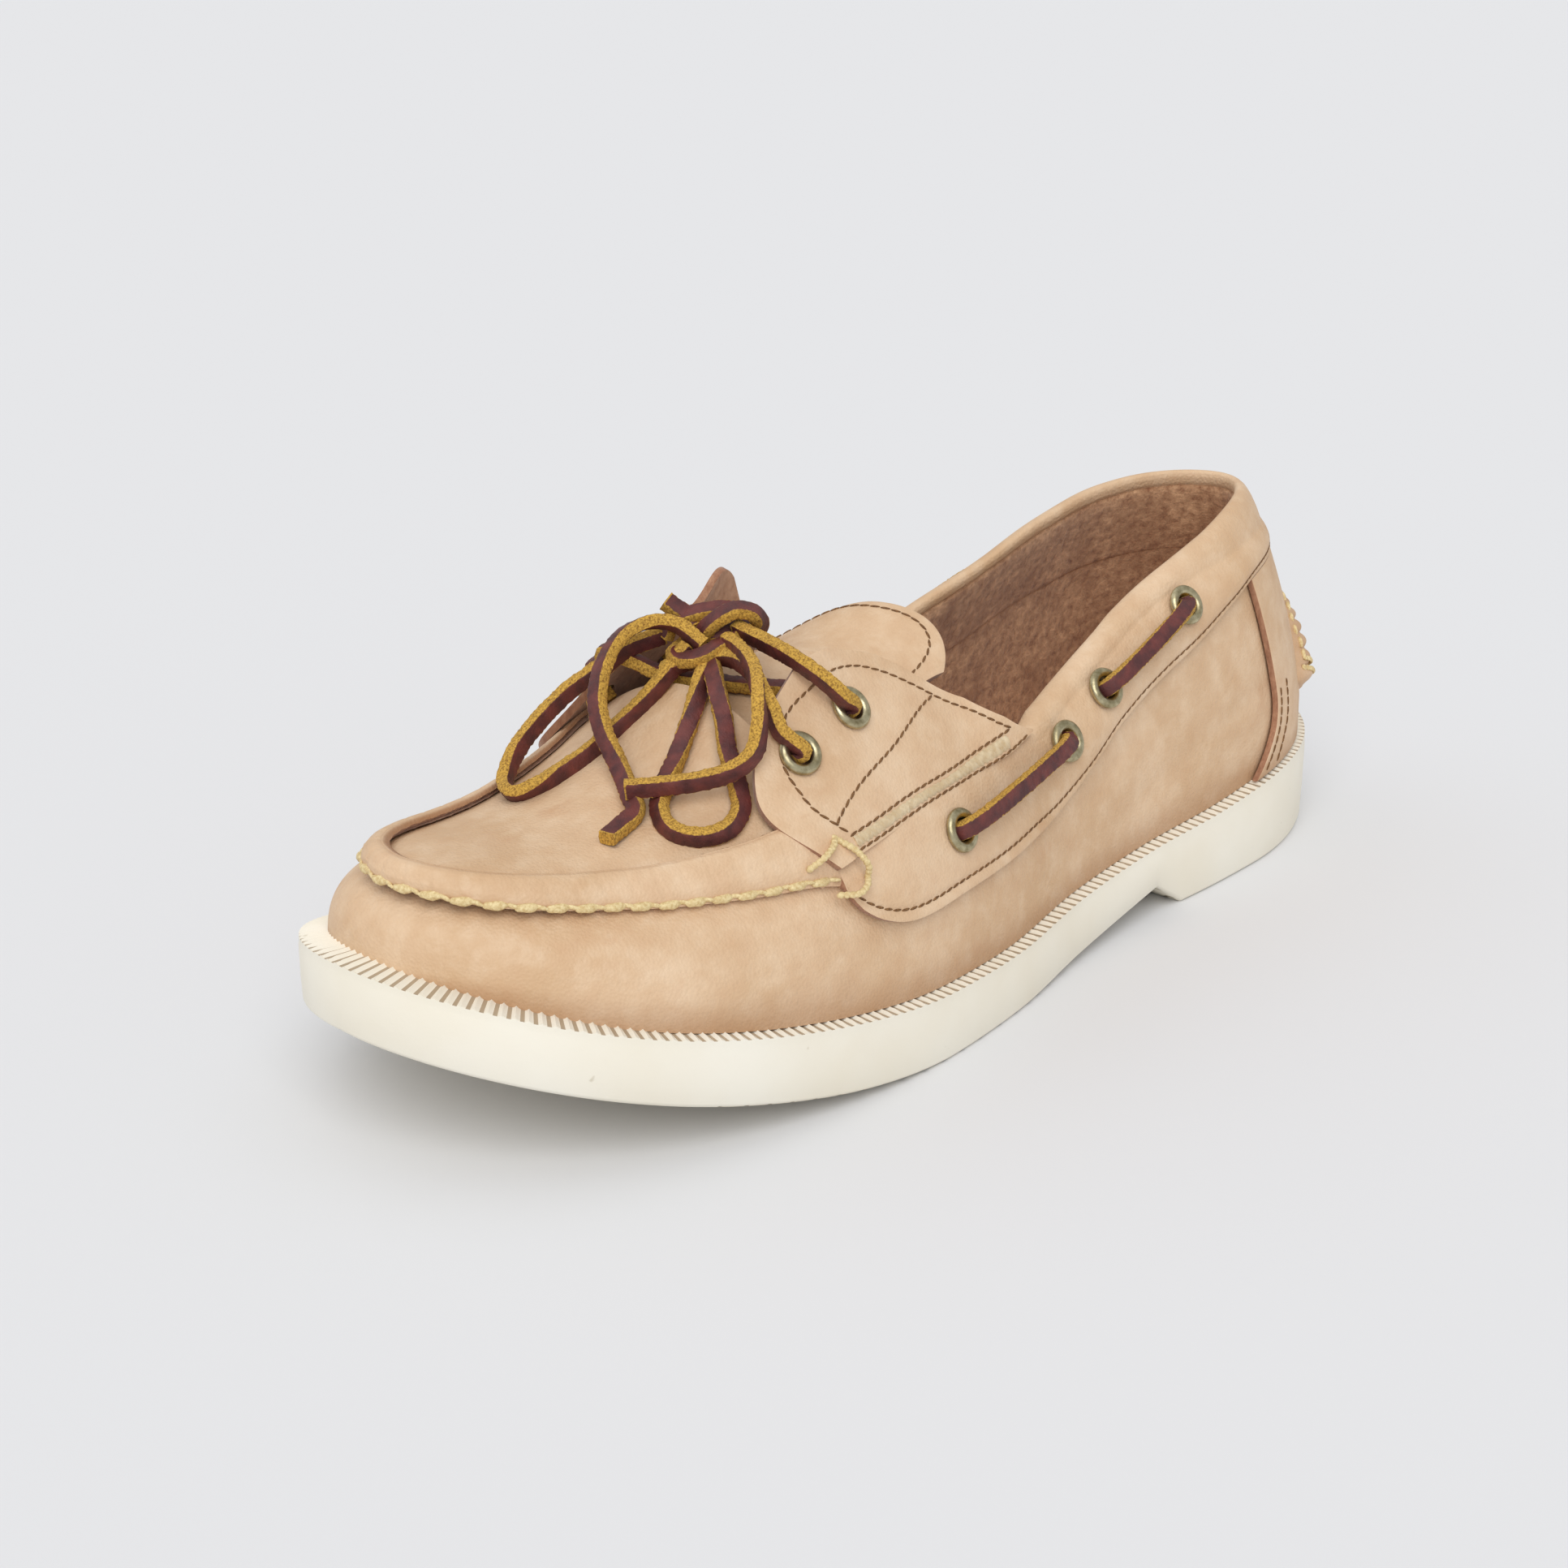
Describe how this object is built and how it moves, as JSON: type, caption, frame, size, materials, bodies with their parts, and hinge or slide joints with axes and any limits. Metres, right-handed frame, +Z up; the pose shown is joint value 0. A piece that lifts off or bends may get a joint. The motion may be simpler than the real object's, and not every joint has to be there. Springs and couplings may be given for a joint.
{
  "type": "boat shoe",
  "caption": "Left moccasin boat shoe with a raised seam around the toe, a padded collar laced along its sides, a rawhide bow and a flat rubber sole.",
  "frame": {"origin": "on the floor under the middle of the sole: halfway from heel to toe and halfway across, at the underside", "axes": "+X towards the toe, +Y towards the wearer's left, which is the outer side of this left shoe, +Z up"},
  "size_m": [0.2994, 0.1062, 0.0908],
  "materials": {
    "tan_leather": "matte oiled tan leather with fine grain",
    "cream_rubber": "matte cream rubber",
    "lining_suede": "brown suede",
    "rawhide_lace": "maroon rawhide with mustard cut edges",
    "antique_brass": "antiqued brass"
  },
  "bodies": {
    "root": {"outsole": "cream_rubber", "upper": "tan_leather", "insole": "lining_suede", "tongue": "tan_leather", "apron": "tan_leather", "apron_seam": "tan_leather", "collar_band": "tan_leather", "eyestay_lateral": "tan_leather", "eyestay_medial": "tan_leather", "collar_roll": "tan_leather", "heel_counter": "tan_leather", "heel_roll": "tan_leather", "eyelet_lateral_front": "antique_brass", "eyelet_lateral_rear": "antique_brass", "eyelet_lateral_one": "antique_brass", "eyelet_lateral_two": "antique_brass", "eyelet_lateral_three": "antique_brass", "eyelet_lateral_four": "antique_brass", "eyelet_medial_front": "antique_brass", "eyelet_medial_rear": "antique_brass", "eyelet_medial_one": "antique_brass", "eyelet_medial_two": "antique_brass", "eyelet_medial_three": "antique_brass", "eyelet_medial_four": "antique_brass", "side_lace_lateral_front": "rawhide_lace", "side_lace_lateral_rear": "rawhide_lace", "side_lace_medial_front": "rawhide_lace", "side_lace_medial_rear": "rawhide_lace", "lace_crossings": "rawhide_lace", "lace_knot": "rawhide_lace", "lace_strand_lateral": "rawhide_lace", "lace_strand_medial": "rawhide_lace", "lace_end_one": "rawhide_lace", "lace_end_two": "rawhide_lace", "lace_loop_left": "rawhide_lace", "lace_loop_lower": "rawhide_lace"}
  },
  "joints": []
}
